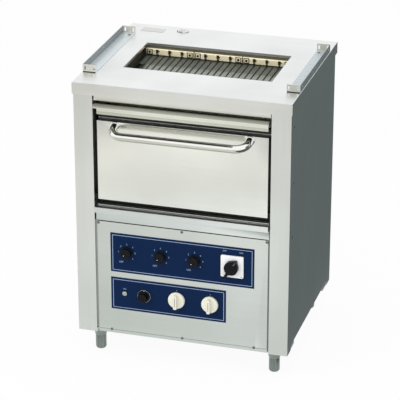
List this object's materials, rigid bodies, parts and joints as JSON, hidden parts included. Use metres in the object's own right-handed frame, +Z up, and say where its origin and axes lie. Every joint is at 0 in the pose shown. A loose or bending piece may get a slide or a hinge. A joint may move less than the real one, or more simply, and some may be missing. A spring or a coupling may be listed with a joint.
{
  "type": "electric broiler",
  "caption": "Floor-standing stainless electric broiler with an open grill top over a drip tray, an oven with a drop-down door, and a panel of turning switches.",
  "frame": {"origin": "on the floor, under the middle of the overall box, from the door handle's front to the top's rear edge", "axes": "+X to the right seen from the front, +Y to the back, +Z up"},
  "size_m": [0.6, 0.5652, 0.821],
  "materials": {
    "stainless": "No. 4 brushed stainless sheet",
    "stainless_door": "brushed stainless sheet, slightly warm",
    "galvanised": "zinc-plated steel sheet",
    "chrome": "polished tube",
    "blue_legend": "printed aluminium plate, satin",
    "white_plastic": "moulded, satin",
    "black_plastic": "phenolic moulding",
    "cream_plastic": "urea moulding",
    "lamp": "frosted lens",
    "screw_steel": "stainless screws",
    "heater_alloy": "heat-stained alloy strip",
    "heater_sheath": "dark sheathed rod",
    "ceramic": "cream steatite",
    "liner_steel": "aluminised steel",
    "blanket": "ceramic fibre blanket",
    "gasket": "woven glass fibre",
    "foot_steel": "zinc-plated foot",
    "collar": "grey collar",
    "switch_case": "phenolic case",
    "rubber": "matt",
    "brass": "plated"
  },
  "bodies": {
    "cabinet": {"side_panel_right": "stainless", "side_panel_left": "stainless", "back_panel": "stainless", "top_plate": "stainless", "top_front_rail": "stainless", "base_pan": "galvanised", "leg_brackets": "galvanised", "leg_collars": "collar", "partition_shelf": "galvanised", "oven_sill": "stainless", "control_panel": "stainless", "panel_brackets": "galvanised", "panel_screws": "screw_steel", "upper_legend_plate": "blue_legend", "lower_legend_plate": "blue_legend", "cam_switch_plate": "white_plastic", "cam_switch_body": "switch_case", "rotary_switch_bodies": "switch_case", "thermostat_body": "switch_case", "thermostat_bulb": "brass", "pilot_lamp": "lamp", "pilot_lamp_bezel": "chrome", "grill_tub": "liner_steel", "heater_strips": "heater_alloy", "rear_insulators": "ceramic", "tray_runners": "galvanised", "oven_liner": "liner_steel", "oven_insulation": "blanket", "oven_front_frame": "liner_steel", "oven_bottom_heater": "heater_sheath", "oven_top_heater": "heater_sheath", "rack_guides": "liner_steel", "oven_rack": "chrome", "hinge_brackets": "galvanised", "side_rail_right": "galvanised", "side_rail_left": "galvanised", "body_screws": "screw_steel", "top_cap": "screw_steel", "rating_plate": "screw_steel", "cable_gland": "rubber", "terminal_block": "ceramic"},
    "oven_door": {"door_outer_skin": "stainless_door", "door_inner_panel": "liner_steel", "door_insulation": "blanket", "door_gasket": "gasket", "door_handle": "chrome", "handle_bolts": "screw_steel", "hinge_pins": "screw_steel"},
    "tray": {"drip_tray": "stainless"},
    "zone_left": {"zone_knob_left": "black_plastic"},
    "zone_centre": {"zone_knob_centre": "black_plastic"},
    "zone_right": {"zone_knob_right": "black_plastic"},
    "main_switch": {"main_switch_handle": "black_plastic"},
    "thermostat": {"thermostat_knob": "black_plastic"},
    "upper_heater_switch": {"upper_heater_knob": "cream_plastic"},
    "lower_heater_switch": {"lower_heater_knob": "cream_plastic"},
    "levelling_front_left": {"foot_front_left": "foot_steel"},
    "levelling_front_right": {"foot_front_right": "foot_steel"},
    "levelling_rear_left": {"foot_rear_left": "foot_steel"},
    "levelling_rear_right": {"foot_rear_right": "foot_steel"}
  },
  "joints": [
    {"name": "door_hinge", "type": "hinge", "parent": "cabinet", "child": "oven_door", "pos_m": [0, -0.21515, 0.4756], "axis": [1, 0, 0], "range_deg": [0, 90]},
    {"name": "tray_slide", "type": "slide", "parent": "cabinet", "child": "tray", "axis": [0, -1, 0], "range_m": [0, 0.3]},
    {"name": "zone_left_turn", "type": "hinge", "parent": "cabinet", "child": "zone_left", "pos_m": [-0.1555, -0.23115, 0.3226], "axis": [0, 1, 0], "range_deg": [0, 270]},
    {"name": "zone_centre_turn", "type": "hinge", "parent": "cabinet", "child": "zone_centre", "pos_m": [-0.06, -0.23115, 0.3226], "axis": [0, 1, 0], "range_deg": [0, 270]},
    {"name": "zone_right_turn", "type": "hinge", "parent": "cabinet", "child": "zone_right", "pos_m": [0.0355, -0.23115, 0.3226], "axis": [0, 1, 0], "range_deg": [0, 270]},
    {"name": "main_switch_turn", "type": "hinge", "parent": "cabinet", "child": "main_switch", "pos_m": [0.1415, -0.23115, 0.3201], "axis": [0, 1, 0], "range_deg": [0, 90]},
    {"name": "thermostat_turn", "type": "hinge", "parent": "cabinet", "child": "thermostat", "pos_m": [-0.107, -0.23115, 0.1986], "axis": [0, 1, 0], "range_deg": [0, 300]},
    {"name": "upper_heater_turn", "type": "hinge", "parent": "cabinet", "child": "upper_heater_switch", "pos_m": [-0.0145, -0.23115, 0.1986], "axis": [0, 1, 0], "range_deg": [0, 270]},
    {"name": "lower_heater_turn", "type": "hinge", "parent": "cabinet", "child": "lower_heater_switch", "pos_m": [0.0795, -0.23115, 0.1986], "axis": [0, 1, 0], "range_deg": [0, 270]},
    {"name": "foot_front_left_slide", "type": "slide", "parent": "cabinet", "child": "levelling_front_left", "axis": [0, 0, -1], "range_m": [0, 0.02]},
    {"name": "foot_front_right_slide", "type": "slide", "parent": "cabinet", "child": "levelling_front_right", "axis": [0, 0, -1], "range_m": [0, 0.02]},
    {"name": "foot_rear_left_slide", "type": "slide", "parent": "cabinet", "child": "levelling_rear_left", "axis": [0, 0, -1], "range_m": [0, 0.02]},
    {"name": "foot_rear_right_slide", "type": "slide", "parent": "cabinet", "child": "levelling_rear_right", "axis": [0, 0, -1], "range_m": [0, 0.02]}
  ]
}
